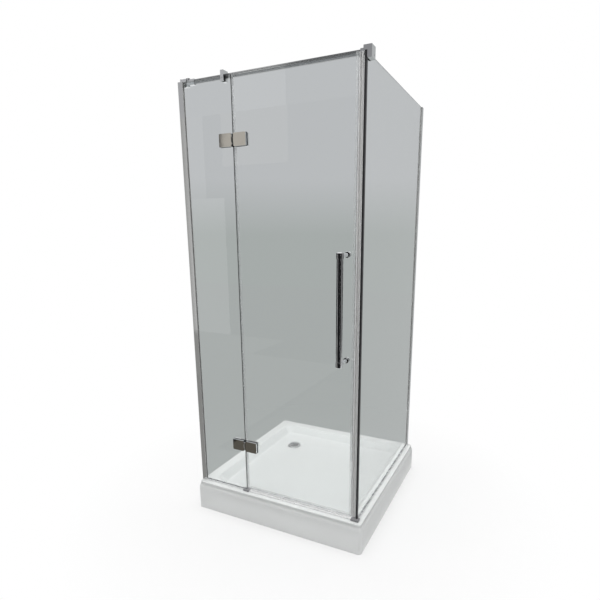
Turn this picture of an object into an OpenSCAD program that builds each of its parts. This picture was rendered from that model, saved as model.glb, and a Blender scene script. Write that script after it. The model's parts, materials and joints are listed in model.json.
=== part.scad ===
// Square corner shower cabin for two walls: an acrylic tray on a steel frame, one fixed front pane,
// one fixed side pane and a glass door on two glass-to-glass hinges.
// X runs along the front, the front faces -Y and Z is up. The origin is the tray's centre on the floor.
// The left wall touches the cabin at the least X, and the rear wall at the greatest Y.

/* [Tray] */
// Side of the square tray
tray_size = 900; // [800:10:1100]
// Height of the rim above the floor
tray_h = 150; // [145:1:190]
// Thickness of the tray's shell
tray_wall = 5; // [4:0.5:6]
// Width of the flat rim round the basin
rim_w = 58; // [54:1:80]
// Height of the lip round the rim
lip_h = 8; // [7:0.5:14]
// Corner radius of the rim
tray_r = 14; // [12:1:30]
// How far the apron's foot stands out past the rim
apron_foot = 5; // [2:0.5:10]
// Depth of the basin at its foot
basin_depth = 36; // [25:1:40]
// Extra depth of the basin at the waste
basin_fall = 4; // [2:0.5:6]
// Width of the basin's sloping side
basin_slope = 34; // [15:1:45]
// Corner radius of the basin at the rim
basin_r = 55; // [48:1:90]
// Height of the turned-down edge against the walls
wall_edge_h = 40; // [30:1:60]

/* [Tray support] */
// Thickness of the board under the basin
board_t = 12; // [9:1:18]
// Width of the frame's square tube
tube_w = 25; // [24:1:30]
// Wall of the frame's square tube
tube_wall = 2; // [1.5:0.1:2]
// Distance from the tray's edge to the middle of the frame's tubes
frame_in = 120; // [115:1:122]
// Radius of the levelling studs
stud_r = 6; // [5:0.5:6]
// Radius of the foot pads
pad_r = 25; // [18:1:30]
// Thickness of the foot pads
pad_t = 8; // [5:1:12]

/* [Waste] */
// Distance of the waste from the left wall
waste_left = 210; // [190:5:230]
// Distance of the waste from the rear wall
waste_rear = 243; // [190:1:260]
// Radius of the waste flange
flange_r = 41; // [38:1:50]
// Thickness of the waste flange
flange_t = 3; // [2:0.5:4]
// Radius of the hole in the tray
waste_hole_r = 31; // [31:0.5:34]
// Outer radius of the flange's threaded neck
neck_r = 29; // [28:0.5:29.5]
// Outer radius of the trap
trap_r = 45; // [43:1:48]
// Wall of the trap
trap_wall = 3; // [2:0.5:4]
// Depth of the trap's underside below the tray's rim
trap_drop = 130; // [129:1:135]
// Bore radius of the outlet, for a 40 mm pipe
outlet_r = 20.1; // [19:0.1:21]
// Outer radius of the outlet spigot
spigot_r = 23; // [22.5:0.25:23.5]

/* [Glass] */
// Thickness of the glass
glass_t = 8; // [6:1:10]
// Height of the fixed panes
glass_h = 1905; // [1700:5:2100]
// Distance from the tray's edge to the middle of the glass
set_back = 32; // [30:1:36]
// Gap under the fixed panes
sill_gap = 5; // [4:0.5:7]
// Distance from the left wall to the middle of the gap at the hinges
hinge_line = 279; // [230:1:320]
// Gap between the fixed pane and the door
pane_gap = 5; // [5:0.5:7]
// Gap between the door and the side pane, which the magnetic seals fill
corner_gap = 21; // [20:0.5:26]
// Gap between the tray and the door's glass
door_lift = 16; // [15:0.5:20]

/* [Wall channels and sills] */
// Depth of the wall channels
channel_d = 25; // [20:1:35]
// Width of the wall channels
channel_w = 16; // [16:0.5:20]
// Wall of the channels
channel_t = 1.6; // [1.4:0.1:2.4]
// Distance from the wall to the edge of the glass
glass_in = 12; // [8:0.5:14]
// Radius of the screw holes in the channels
wall_hole_r = 2.75; // [2.25:0.25:3]
// Distance between the top and bottom screw holes of a channel
wall_hole_pitch = 1500; // [1200:10:1600]
// Height of the sill channels
sill_h = 8; // [7.5:0.5:12]
// Thickness of the sill channels' base
sill_t = 2; // [1.5:0.5:2.5]
// Height of the threshold strip
threshold_h = 7; // [5:0.5:8]
// Width of the threshold strip
threshold_w = 22; // [18:1:28]

/* [Seals] */
// Wall of the clip-on seals
seal_t = 1.2; // [0.8:0.1:1.4]
// Grip of the clip-on seals on the glass
seal_grip = 11; // [8:0.5:14]
// Gap between two pieces that pass each other
run_gap = 0.3; // [0.3:0.05:0.5]

/* [Hinges] */
// Height of a hinge
hinge_h = 54; // [50:1:60]
// Length of each leaf from the hinge axis
leaf_l = 68; // [60:1:80]
// Thickness of the hinge plates
plate_t = 8; // [8:0.5:10]
// Thickness of the gaskets on the glass
gasket_t = 1; // [0.5:0.1:1.5]
// Radius of the middle barrel
barrel_r = 6; // [6:0.25:6.5]
// Height of the middle barrel
barrel_h = 20; // [16:1:22]
// Radius of the hinge pin
pin_r = 2.5; // [2:0.25:3]
// Height of the lower hinge above the tray
low_hinge = 246; // [200:1:400]
// Depth of the upper hinge below the top of the glass
high_hinge = 254; // [200:1:400]

/* [Handle] */
// Radius of the handle tube
grip_r = 14; // [10:0.5:15]
// Wall of the handle tube
grip_wall = 1.5; // [1:0.25:2.5]
// Distance between the handle's fixings
grip_pitch = 438; // [250:2:600]
// Height of the handle's middle above the tray
grip_mid = 966; // [800:2:1100]
// Distance from the glass to the middle of the handle tube
grip_off = 80; // [50:1:95]
// Distance from the door's edge to the handle
grip_in = 33; // [30:1:60]
// Radius of the handle's stems
stem_r = 8; // [7:0.5:9]
// Radius of the round plates on the glass
rosette_r = 12; // [11:0.5:16]

/* [Stabiliser bar] */
// Thickness of the bar
bar_t = 10; // [8:0.5:12]
// Height of the bar
bar_h = 20; // [15:0.5:22]
// Gap between the glass and the bar
bar_gap = 5; // [5:0.5:8]
// How far the bar's top stands above the glass
bar_rise = 9; // [0:0.5:10]
// Distance from the hinge line to the glass clip
clip_in = 40; // [35:1:120]
// Width of the glass clip
clip_w = 15; // [12:1:24]
// How far the clip and the clamp rise above the glass
clip_rise = 19; // [14:1:24]
// How far the clip and the clamp reach below the top of the glass
clip_reach = 24; // [23:1:32]
// Thickness of the corner clamp's outer jaw
clamp_t = 18; // [10:1:22]
// Length of the corner clamp
clamp_l = 40; // [30:1:50]

/* [Hidden] */
$fn = 48;
hull_fn = 32;
over = 1; // how far a cut runs past the face that it opens

// Heights in the tray and under it
half = tray_size / 2;
basin_top = tray_size - 2 * rim_w;
basin_foot = basin_top - 2 * basin_slope;
foot_z = tray_h - basin_depth;
waste_floor_z = foot_z - basin_fall;
skin_z = waste_floor_z - tray_wall;
board_z = skin_z - board_t;
frame_z = board_z - tube_w;
frame_half = half - frame_in;
lip_z = tray_h - lip_h;
corner_mid = half - tray_r;
apron_tongue = half - tray_wall - 0.3;
apron_out = half + apron_foot;
bracket_w = 24;
bracket_t = 3;
leg_places = [[0, 0], for (x = [-1, 1], y = [-1, 1]) [x, y] * frame_half];
pad_boss_r = stud_r + 4;
pad_boss_h = 10;
nut_r = 10.4;
nut_h = 10;
waste = [-half + waste_left, half - waste_rear];
waste_seal_t = 1;
trap_z = tray_h - trap_drop;
neck_wall = 3.5;
neck_z = waste_floor_z - 40;
ledge_r = neck_r - neck_wall - 3.5;
ledge_z = waste_floor_z - 5;
ledge_t = 3;
trap_top = skin_z - waste_seal_t;
trap_ring_h = 14;
tube_r = ledge_r - 0.5;
tube_t = 1.5;
tube_rim_t = 2;
tube_end = trap_z + trap_wall + 12;
weir_in = tube_r + 6;
weir_top = neck_z - 2;
cover_t = 3;
outlet_z = trap_z + spigot_r + 1;
outlet_face = trap_r + 5;
outlet_plate_t = 4;
outlet_window = outlet_r * sqrt(PI); // as wide open as the round outlet
outlet_nut_r = spigot_r + 5;
outlet_nut_l = 22;
outlet_nut_lip = 3;
outlet_seal_l = 4;
outlet_nut_x = waste_left - frame_in + tube_w / 2 + 2.5;
spigot_end = outlet_nut_x + outlet_nut_l - outlet_nut_lip - outlet_seal_l;

// Planes of the glass
glass_y = -half + set_back;
front_out = glass_y - glass_t / 2;
front_in = glass_y + glass_t / 2;
side_x = half - set_back;
side_in = side_x - glass_t / 2;
side_out = side_x + glass_t / 2;
glass_z = tray_h + sill_gap;
glass_top = glass_z + glass_h;
door_z = tray_h + door_lift;
hinge_x = -half + hinge_line;
fixed_x0 = -half + glass_in;
fixed_x1 = hinge_x - pane_gap / 2;
door_x0 = hinge_x + pane_gap / 2;
door_x1 = side_in - corner_gap;
side_y0 = front_out + 2;
side_y1 = half - glass_in;
hole_heights = [for (k = [-0.5, -1 / 6, 1 / 6, 0.5]) (tray_h + glass_top) / 2 + k * wall_hole_pitch];
cap_t = 2;
end_block_l = 36;
block_l = 30;
front_block_in = 30;
side_block_in = 120;
corner_block_w = 38;
corner_block_y0 = front_out - 13;
corner_block_y1 = front_out + 14;
threshold_x0 = hinge_x + end_block_l / 2 - 4;
threshold_x1 = door_x1 + 1;

// Seals at the corner and round the door
meet_x = (door_x1 + side_in) / 2 + 0.5;
magnet_w = 5;
drip_gap = 1.5;

// Hinges
axis_y = front_out - gasket_t - plate_t / 2;
relief = barrel_r - 0.5;
ear_r = plate_t / 2 + 0.5;
ear_h = 10;
hinge_heights = [tray_h + low_hinge, glass_top - high_hinge];
notch_d = 30;
notch_h = 38;
block_play = 1;
plate_r = 3;
gasket_out = 0.5;
hinge_screw_z = 10;
hinge_screw_r = 2.5;
hinge_screw_head_r = 4.5;
hinge_screw_head_h = 3;
hinge_screw_l = 14;
pin_play = 0.05;

// Handle
grip_x = door_x1 - grip_in;
grip_y = front_out - grip_off;
grip_heights = [for (k = [-0.5, 0.5]) tray_h + grip_mid + k * grip_pitch];
knuckle_r = grip_r + 1.5;
knuckle_h = 12.5;
knuckle_chamfer = 3;
rosette_t = 5;
bolt_r = 4;
bush_r = 6;
bolt_in = 16;
inner_cap_t = 6;

// Stabiliser bar
bar_y0 = front_in + bar_gap;
bar_y1 = bar_y0 + bar_t;
bar_mid_y = (bar_y0 + bar_y1) / 2;
bar_z1 = glass_top + bar_rise;
bar_z0 = bar_z1 - bar_h;
bar_mid_z = (bar_z0 + bar_z1) / 2;
pad_rubber_t = 2;
clip_x = hinge_x - clip_in;
clip_jaw = 6;
clip_wall = 3;
clamp_z0 = glass_top - clip_reach;
clamp_z1 = glass_top + clip_rise;
clamp_in_t = 18;
clamp_pad_y = side_y0 + 14;
bar_x1 = side_in - pad_rubber_t - 4;
wall_plate_t = 5;
wall_plate_w = 24;
wall_plate_h = 38;
wall_plate_pitch = 24;
knuckle_in = 42;
pivot_r = bar_t / 2 + 3.5;
pivot_x = -half + knuckle_in;
ear_z = 8;
pivot_gap = 0.5;
socket_l = 28;
socket_wall = 2.5;
bar_x0 = pivot_x + pivot_r + 14;
grub_r = 3;
grub_in = 12;
clamp_screw_y = (clamp_pad_y + side_y0 + clamp_l) / 2;

// A box from its lowest corner to its highest
module span(a, b) translate(a) cube(b - a);

// A flat rectangle with round corners, about the origin
module rounded(w, d, r) {
    square([w - 2 * r, d], center = true);
    square([w, d - 2 * r], center = true);
    for (x = [-1, 1], y = [-1, 1]) translate([x * (w / 2 - r), y * (d / 2 - r)]) circle(r);
}

// A square slab with round corners, its underside at z
module slab(w, z, h, r) translate([0, 0, z]) linear_extrude(h) rounded(w, w, r);

// An upright plate with round corners, seen from the front
module front_plate(x0, x1, z0, z1, y0, y1, r)
    translate([(x0 + x1) / 2, y1, (z0 + z1) / 2]) rotate([90, 0, 0])
        linear_extrude(y1 - y0) rounded(x1 - x0, z1 - z0, r);

// A rod along Y from y0 to y1
module rod_y(x, z, y0, y1, r) translate([x, y0, z]) rotate([-90, 0, 0]) cylinder(r = r, h = y1 - y0);

// A rod along X from x0 to x1
module rod_x(y, z, x0, x1, r) translate([x0, y, z]) rotate([0, 90, 0]) cylinder(r = r, h = x1 - x0);

// An upright ring
module ring(r_out, r_in, z0, z1) difference() {
    translate([0, 0, z0]) cylinder(r = r_out, h = z1 - z0);
    translate([0, 0, z0 - over]) cylinder(r = r_in, h = z1 - z0 + 2 * over);
}

// Tray and its support

// The basin's hollow down to its foot, and the fall from there to the waste
module basin_hollow() {
    hull() {
        slab(basin_top, tray_h, over, basin_r, $fn = hull_fn);
        slab(basin_foot, foot_z, over, basin_r - basin_slope / 2, $fn = hull_fn);
    }
    hull() {
        slab(basin_foot, foot_z, over, basin_r - basin_slope / 2, $fn = hull_fn);
        translate([waste.x, waste.y, waste_floor_z]) cylinder(r = flange_r + 4, h = over, $fn = hull_fn);
    }
}

// The outside of the basin, one wall larger than the hollow
module basin_skin() hull() {
    foot_r = basin_r - basin_slope / 2;
    slab(basin_top + 2 * tray_wall, tray_h - tray_wall, tray_wall, basin_r + tray_wall, $fn = hull_fn);
    slab(basin_foot + 2 * tray_wall, skin_z, tray_wall, foot_r + tray_wall, $fn = hull_fn);
}

module tray() color("white") difference() {
    union() {
        slab(tray_size, tray_h - tray_wall, tray_wall, tray_r);
        difference() {
            slab(tray_size, lip_z, lip_h, tray_r);
            slab(tray_size - 2 * tray_wall, lip_z - over, lip_h, tray_r - tray_wall);
        }
        // Deeper edges against the two walls
        span([-half, -half + 2 * tray_r, tray_h - wall_edge_h], [-half + tray_wall, half - tray_r, tray_h]);
        span([-half + tray_r, half - tray_wall, tray_h - wall_edge_h], [half - 2 * tray_r, half, tray_h]);
        basin_skin();
    }
    basin_hollow();
    translate([waste.x, waste.y, skin_z - over]) cylinder(r = waste_hole_r, h = tray_h);
}

// The apron in section: a tongue behind the lip, a shoulder that slopes out and a plain foot
module apron_section() {
    outer = [[apron_tongue, tray_h - tray_wall - 0.3], [apron_tongue, lip_z - 2],
        [apron_out - 2, lip_z - 18], [apron_out, lip_z - 28], [apron_out, 0]];
    inner = [for (k = [4 : -1 : 0]) outer[k] - [tray_wall, 0]];
    polygon([for (p = concat(outer, inner)) p - [corner_mid, 0]]);
}

// One side of the apron, from the front right corner to the rear wall
module apron_side() difference() {
    translate([corner_mid, half, 0]) rotate([90, 0, 0]) linear_extrude(half + corner_mid) apron_section();
    span([corner_mid, corner_mid, lip_z - 2], [half + over, half + over, tray_h]);
}

module apron() color("white") {
    apron_side();
    mirror([1, 1, 0]) apron_side();
    translate([corner_mid, -corner_mid, 0]) rotate([0, 0, -90]) rotate_extrude(angle = 90) apron_section();
}

// Steel brackets from the frame's tube to the back of the apron
module front_brackets() for (x = [-0.5, 0.5] * frame_half) {
    y0 = -apron_out + tray_wall;
    y1 = -frame_half - tube_w / 2;
    span([x - bracket_w / 2, y0, frame_z], [x + bracket_w / 2, y1, frame_z + bracket_t]);
    for (y = [y0, y1 - bracket_t])
        span([x - bracket_w / 2, y, frame_z], [x + bracket_w / 2, y + bracket_t, board_z - bracket_t]);
}

module apron_brackets() color("silver") {
    front_brackets();
    mirror([1, 1, 0]) front_brackets();
}

module base_board() color("burlywood") difference() {
    slab(basin_foot - 16, board_z, board_t, basin_r / 2);
    translate([waste.x, waste.y, board_z - over]) cylinder(r = trap_r + 6, h = board_t + 2 * over);
}

// One square tube along X
module tube_x(x0, x1, y) difference() {
    span([x0, y - tube_w / 2, frame_z], [x1, y + tube_w / 2, board_z]);
    span([x0 - over, y - tube_w / 2 + tube_wall, frame_z + tube_wall],
        [x1 + over, y + tube_w / 2 - tube_wall, board_z - tube_wall]);
}

module support_frame() color("silver") difference() {
    union() {
        for (side = [-1, 1]) {
            tube_x(-frame_half - tube_w / 2, frame_half + tube_w / 2, side * frame_half);
            rotate([0, 0, 90]) tube_x(-frame_half + tube_w / 2, frame_half - tube_w / 2, side * frame_half);
        }
        tube_x(-frame_half + tube_w / 2, frame_half - tube_w / 2, 0);
    }
    for (p = leg_places)
        translate([p.x, p.y, frame_z - over]) cylinder(r = stud_r + 0.5, h = tube_wall + 2 * over);
}

module leg_studs() color("silver") for (p = leg_places)
    translate([p.x, p.y, pad_t]) cylinder(r = stud_r, h = board_z - tube_wall - 1 - pad_t);

module leg_pads() color("dimgray") for (p = leg_places) translate([p.x, p.y, 0]) difference() {
    union() {
        cylinder(r = pad_r, h = pad_t);
        cylinder(r = pad_boss_r, h = pad_t + pad_boss_h);
    }
    translate([0, 0, pad_t]) cylinder(r = stud_r, h = pad_boss_h + over);
}

// Two nuts on each stud hold the tube's lower wall between them
module leg_nuts() color("silver") for (p = leg_places, z = [frame_z - nut_h, frame_z + tube_wall])
    translate([p.x, p.y, z]) difference() {
        cylinder(r = nut_r, h = nut_h, $fn = 6);
        translate([0, 0, -over]) cylinder(r = stud_r, h = nut_h + 2 * over);
    }

// Waste, with its outlet towards the left wall

// A rod along -X under the tray, its distances measured from the waste
module outlet_rod(a, b, r) rod_x(0, outlet_z, -b, -a, r);

// A block along -X round the outlet's axis, its half width and half height the same
module outlet_block(a, b, half_side)
    span([-b, -half_side, outlet_z - half_side], [-a, half_side, outlet_z + half_side]);

// A cup with a flat face at the outlet, and a square window through it
module trap_body() color("whitesmoke") translate([waste.x, waste.y, 0]) {
    difference() {
        union() {
            translate([0, 0, trap_z]) cylinder(r = trap_r, h = trap_top - trap_ring_h - trap_z);
            outlet_block(weir_in, outlet_face, outlet_z - trap_z);
        }
        translate([0, 0, trap_z + trap_wall]) cylinder(r = trap_r - trap_wall, h = trap_top);
        outlet_block(weir_in, outlet_face + over, outlet_window / 2);
    }
    // Water stands up to the top of this wall, so that the dip tube's end stays under it
    intersection() {
        translate([0, 0, trap_z]) cylinder(r = trap_r - trap_wall / 2, h = weir_top - trap_z);
        span([-weir_in - trap_wall, -trap_r, trap_z], [-weir_in, trap_r, weir_top]);
    }
}

// The pipe's socket, on a plate welded to the cup's flat face
module trap_outlet() color("whitesmoke") translate([waste.x, waste.y, 0]) difference() {
    union() {
        outlet_block(outlet_face, outlet_face + outlet_plate_t, outlet_z - trap_z);
        outlet_rod(outlet_face, spigot_end, spigot_r);
    }
    outlet_rod(outlet_face - over, spigot_end + over, outlet_r);
}

// The ring on top of the trap body has the thread for the flange
module trap_ring() color("whitesmoke") translate([waste.x, waste.y, 0])
    ring(trap_r, neck_r, trap_top - trap_ring_h, trap_top);

// Rubber rings above and below the tray, and one at the pipe
module waste_seals() color("black") translate([waste.x, waste.y, 0]) {
    ring(trap_r - 2, waste_hole_r, trap_top, skin_z);
    ring(flange_r - 1, waste_hole_r, waste_floor_z, waste_floor_z + waste_seal_t);
    difference() {
        outlet_rod(spigot_end, spigot_end + outlet_seal_l, spigot_r);
        outlet_rod(spigot_end - over, spigot_end + outlet_seal_l + over, outlet_r);
    }
}

// Chrome ring with a neck that screws into the trap's ring, and a ledge inside for the dip tube
module waste_flange() color("gainsboro") translate([waste.x, waste.y, 0]) {
    top = waste_floor_z + waste_seal_t;
    rotate_extrude() polygon([
        [neck_r - neck_wall, top + flange_t], [flange_r - 3, top + flange_t], [flange_r, top + 1],
        [flange_r, top], [neck_r, top], [neck_r, neck_z], [neck_r - neck_wall, neck_z],
        [neck_r - neck_wall, ledge_z - ledge_t], [ledge_r, ledge_z - ledge_t], [ledge_r, ledge_z],
        [neck_r - neck_wall, ledge_z]]);
}

module outlet_nut() color("whitesmoke") translate([waste.x, waste.y, 0]) difference() {
    end = outlet_nut_x + outlet_nut_l;
    outlet_rod(outlet_nut_x, end, outlet_nut_r);
    outlet_rod(outlet_nut_x - over, end - outlet_nut_lip, spigot_r);
    outlet_rod(end - outlet_nut_lip - over, end + over, outlet_r + 0.4);
}

// An open tube that hangs on the flange's ledge and dips into the trap's water
module dip_tube() color("lightgray") translate([waste.x, waste.y, 0]) {
    ring(neck_r - neck_wall - 0.5, tube_r - tube_t, ledge_z, ledge_z + tube_rim_t);
    ring(tube_r, tube_r - tube_t, tube_end, ledge_z + tube_rim_t);
}

module drain_cover() color("silver") translate([waste.x, waste.y, ledge_z + tube_rim_t + run_gap]) {
    r = neck_r - neck_wall - 0.5;
    difference() {
        cylinder(r = r, h = cover_t);
        for (a = [0 : 60 : 300]) rotate([0, 0, a])
            span([r * 0.36, -1.6, -over], [r * 0.84, 1.6, cover_t + over]);
    }
}

// Wall channels, gaskets and sills

// An upright U channel with its web on the wall at X = 0 and its mouth towards +X
module wall_channel() translate([0, 0, tray_h]) difference() {
    linear_extrude(glass_top - tray_h) difference() {
        translate([0, -channel_w / 2]) square([channel_d, channel_w]);
        translate([channel_t, -channel_w / 2 + channel_t]) square([channel_d, channel_w - 2 * channel_t]);
    }
    for (z = hole_heights) rod_x(0, z - tray_h, -over, channel_t + over, wall_hole_r);
}

// Two rubber strips hold the glass in a channel, and stand 1 mm out of it
module channel_gaskets() for (side = [0, 1]) mirror([0, side, 0])
    span([glass_in, glass_t / 2, tray_h + sill_h], [channel_d + 1, channel_w / 2 - channel_t, glass_top]);

module at_left_wall() translate([-half, glass_y, 0]) children();
module at_rear_wall() translate([side_x, half, 0]) rotate([0, 0, -90]) children();

module front_wall_channel() color("lightgray") at_left_wall() wall_channel();
module rear_wall_channel() color("lightgray") at_rear_wall() wall_channel();
module front_glass_gaskets() color("black") at_left_wall() channel_gaskets();
module rear_glass_gaskets() color("black") at_rear_wall() channel_gaskets();

module channel_cap() span([0, -channel_w / 2, glass_top], [channel_d, channel_w / 2, glass_top + cap_t]);

module channel_caps() color("silver") {
    at_left_wall() channel_cap();
    at_rear_wall() channel_cap();
}

// A low U channel along X that a fixed pane stands in
module sill(length) difference() {
    span([0, -channel_w / 2, tray_h], [length, channel_w / 2, tray_h + sill_h]);
    span([-over, -glass_t / 2 - 0.5, tray_h + sill_t],
        [length + over, glass_t / 2 + 0.5, tray_h + sill_h + over]);
}

module front_sill() color("lightgray") translate([-half + channel_d, glass_y, 0])
    sill(hinge_line - channel_d - end_block_l / 2);

module side_sill() color("lightgray") translate([side_x, half - channel_d, 0]) rotate([0, 0, -90])
    sill(half - channel_d - corner_block_y1);

// Two nylon blocks lift each fixed pane off its sill
module setting_blocks() color("dimgray") {
    sill_x0 = -half + channel_d;
    sill_x1 = hinge_x - end_block_l / 2;
    for (x = [sill_x0 + front_block_in, sill_x1 - front_block_in - block_l])
        span([x, front_out, tray_h + sill_t], [x + block_l, front_in, glass_z]);
    for (y = [-half + side_block_in, half - side_block_in - block_l])
        span([side_in, y, tray_h + sill_t], [side_out, y + block_l, glass_z]);
}

// A low strip with sloping flanks under the door
module threshold_strip() color("gray")
    translate([threshold_x0, glass_y, tray_h]) rotate([90, 0, 90])
        linear_extrude(threshold_x1 - threshold_x0) polygon([
            [-threshold_w / 2, 0], [threshold_w / 2, 0], [threshold_w / 2, threshold_h * 0.45],
            [threshold_w * 0.28, threshold_h], [-threshold_w * 0.28, threshold_h],
            [-threshold_w / 2, threshold_h * 0.45]]);

// Dark blocks at the threshold's ends: one under the hinge gap, one slotted for the side pane
module threshold_end_blocks() color("dimgray") {
    difference() {
        translate([hinge_x - 2, glass_y - 2, tray_h]) linear_extrude(threshold_h + 1)
            rounded(end_block_l, threshold_w + 6, 5);
        span([-half, front_out, glass_z], [fixed_x1, front_in, glass_top]);
        span([-half, glass_y - channel_w / 2, tray_h - over],
            [hinge_x - end_block_l / 2, glass_y + channel_w / 2, glass_top]);
        span([threshold_x0, -half, tray_h - over], [half, half, glass_top]);
    }
    difference() {
        span([threshold_x1, corner_block_y0, tray_h],
            [threshold_x1 + corner_block_w, corner_block_y1, tray_h + sill_h]);
        span([side_in, side_y0, glass_z], [side_out, side_y1, glass_top]);
    }
}

// Glass

// A notch from a pane's edge at each hinge
module hinge_notches(edge, inward) for (z = hinge_heights)
    front_plate(edge + min(0, inward * notch_d) - 10 * (inward > 0 ? 1 : 0),
        edge + max(0, inward * notch_d) + 10 * (inward < 0 ? 1 : 0),
        z - notch_h / 2, z + notch_h / 2, front_out - over, front_in + over, 8);

module fixed_glass() color("powderblue", 0.35) difference() {
    span([fixed_x0, front_out, glass_z], [fixed_x1, front_in, glass_top]);
    hinge_notches(fixed_x1, -1);
}

module side_glass() color("powderblue", 0.35)
    span([side_in, side_y0, glass_z], [side_out, side_y1, glass_top]);

module door_glass() color("powderblue", 0.35) difference() {
    span([door_x0, front_out, door_z], [door_x1, front_in, glass_top]);
    hinge_notches(door_x0, 1);
    for (z = grip_heights) rod_y(grip_x, z, front_out - over, front_in + over, bush_r);
}

// Seals

// Plan of a seal that clips over a pane's edge at X = 0, the pane lying towards -X about Y = 0
module edge_clip() {
    translate([-seal_grip, glass_t / 2]) square([seal_grip + seal_t, seal_t]);
    translate([-seal_grip, -glass_t / 2 - seal_t]) square([seal_grip + seal_t, seal_t]);
    translate([0, -glass_t / 2 - seal_t]) square([seal_t, glass_t + 2 * seal_t]);
}

// Plan of a hollow box for a magnet, from x0 to x1
module magnet_box(x0, x1) difference() {
    translate([x0, -glass_t / 2 - seal_t]) square([x1 - x0, glass_t + 2 * seal_t]);
    translate([x0 + seal_t, -glass_t / 2]) square([x1 - x0 - 2 * seal_t, glass_t]);
}

module upright(z0, z1) translate([0, 0, z0]) linear_extrude(z1 - z0) children();

module door_magnet_seal() color("gainsboro", 0.6) translate([door_x1, glass_y, 0])
    upright(door_z - 4, glass_top) {
        edge_clip();
        magnet_box(0, meet_x - run_gap - door_x1);
    }

module door_magnet() color("lightgray") {
    x = meet_x - run_gap - seal_t;
    span([x - magnet_w, front_out, door_z], [x, front_in, glass_top - 4]);
}

module side_magnet_seal() color("gainsboro", 0.6) upright(tray_h + sill_h, glass_top) {
    translate([side_x, side_y0]) rotate(-90) edge_clip();
    translate([side_in, glass_y]) magnet_box(meet_x + run_gap - side_in, 0);
}

module side_magnet() color("lightgray") {
    x = meet_x + run_gap + seal_t;
    span([x, front_out, door_z], [x + magnet_w, front_in, glass_top - 4]);
}

// The door's hinge side has a clip-on seal with a fin, left out at the hinges
module door_hinge_seal() color("gainsboro", 0.6) {
    clear = hinge_h / 2 + 3;
    ends = [door_z, hinge_heights[0] - clear, hinge_heights[0] + clear, hinge_heights[1] - clear,
        hinge_heights[1] + clear, glass_top];
    for (k = [0, 2, 4]) translate([door_x0, glass_y, 0]) upright(ends[k], ends[k + 1]) {
        mirror([1, 0]) edge_clip();
        translate([-pane_gap + 0.8, -0.6]) square([pane_gap - 0.8, 1.2]);
    }
}

// Clip-on seal under the door, with a fin that hangs just above the threshold
module door_drip_seal() color("gainsboro", 0.6) {
    x0 = door_x0 + seal_grip + 1;
    fin = door_z - tray_h - threshold_h - drip_gap;
    translate([x0, glass_y, door_z]) rotate([90, 0, 90])
        linear_extrude(door_x1 - seal_grip - 1 - x0) {
            rotate(-90) edge_clip();
            translate([-0.6, -fin]) square([1.2, fin]);
        }
}

// Hinges, made for a hinge whose middle is at z and whose leaf runs towards side
// Sides are -1 for the fixed pane and 1 for the door

module leaf_plate(side, z, x_near, y0, y1, out = 0) {
    near = hinge_x + side * x_near;
    far = hinge_x + side * (leaf_l + out);
    high = hinge_h / 2 + out;
    front_plate(min(near, far), max(near, far), z - high, z + high, y0, y1, plate_r);
}

// The block that passes through the notch in the glass
module leaf_block(side, z, play = 0) {
    near = hinge_x + side * (relief + 2 - play);
    far = hinge_x + side * (pane_gap / 2 + notch_d - block_play + play);
    front_plate(min(near, far), max(near, far), z - notch_h / 2 + block_play - play,
        z + notch_h / 2 - block_play + play, front_out - gasket_t, front_in + gasket_t, 7 + play);
}

function screw_x(side) = hinge_x + side * (pane_gap / 2 + notch_d * 0.55);

module leaf_screw_holes(side, z) for (k = [-1, 1])
    rod_y(screw_x(side), z + k * hinge_screw_z, front_in + gasket_t - hinge_screw_l + plate_t,
        front_in + gasket_t + plate_t + over, hinge_screw_r);

module fixed_leaf(z) color("silver") difference() {
    union() {
        leaf_plate(-1, z, relief, front_out - gasket_t - plate_t, front_out - gasket_t);
        leaf_block(-1, z);
        for (k = [-1, 1]) translate([hinge_x, axis_y, z + k * (barrel_h + ear_h + 2 * run_gap) / 2]) {
            cylinder(r = ear_r, h = ear_h, center = true);
            translate([-relief - plate_r, -plate_t / 2 + 0.5, -ear_h / 2])
                cube([relief + plate_r, plate_t - 1, ear_h]);
        }
    }
    translate([hinge_x, axis_y, z]) {
        cylinder(r = barrel_r + 2 * run_gap, h = barrel_h + 2 * run_gap, center = true);
        cylinder(r = pin_r, h = hinge_h, center = true);
    }
    leaf_screw_holes(-1, z);
}

module door_leaf(z) color("silver") difference() {
    union() {
        leaf_plate(1, z, relief, front_out - gasket_t - plate_t, front_out - gasket_t);
        leaf_block(1, z);
        translate([hinge_x, axis_y, z]) {
            cylinder(r = barrel_r, h = barrel_h, center = true);
            translate([0, -plate_t / 2, -barrel_h / 2]) cube([relief + plate_r, plate_t, barrel_h]);
        }
    }
    translate([hinge_x, axis_y, z]) cylinder(r = pin_r + pin_play, h = hinge_h, center = true);
    leaf_screw_holes(1, z);
}

module hinge_clamps(side) color("silver") for (z = hinge_heights) difference() {
    back = front_in + gasket_t + plate_t;
    leaf_plate(side, z, 1, front_in + gasket_t, back);
    for (screw_z = [z - hinge_screw_z, z + hinge_screw_z]) {
        rod_y(screw_x(side), screw_z, front_in, back + over, hinge_screw_r);
        rod_y(screw_x(side), screw_z, back - hinge_screw_head_h, back + over, hinge_screw_head_r);
    }
}

// Two rubber sheets on the glass, open for the block between them
module leaf_gaskets(side) for (z = hinge_heights) difference() {
    union() {
        leaf_plate(side, z, relief + 3, front_out - gasket_t, front_out, gasket_out);
        leaf_plate(side, z, relief + 3, front_in, front_in + gasket_t, gasket_out);
    }
    leaf_block(side, z, block_play);
}

module hinge_fixed_gaskets() color("black") leaf_gaskets(-1);
module hinge_door_gaskets() color("black") leaf_gaskets(1);

module hinge_pins() color("silver") for (z = hinge_heights)
    translate([hinge_x, axis_y, z])
        cylinder(r = pin_r, h = barrel_h + 2 * (ear_h + run_gap), center = true);

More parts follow.
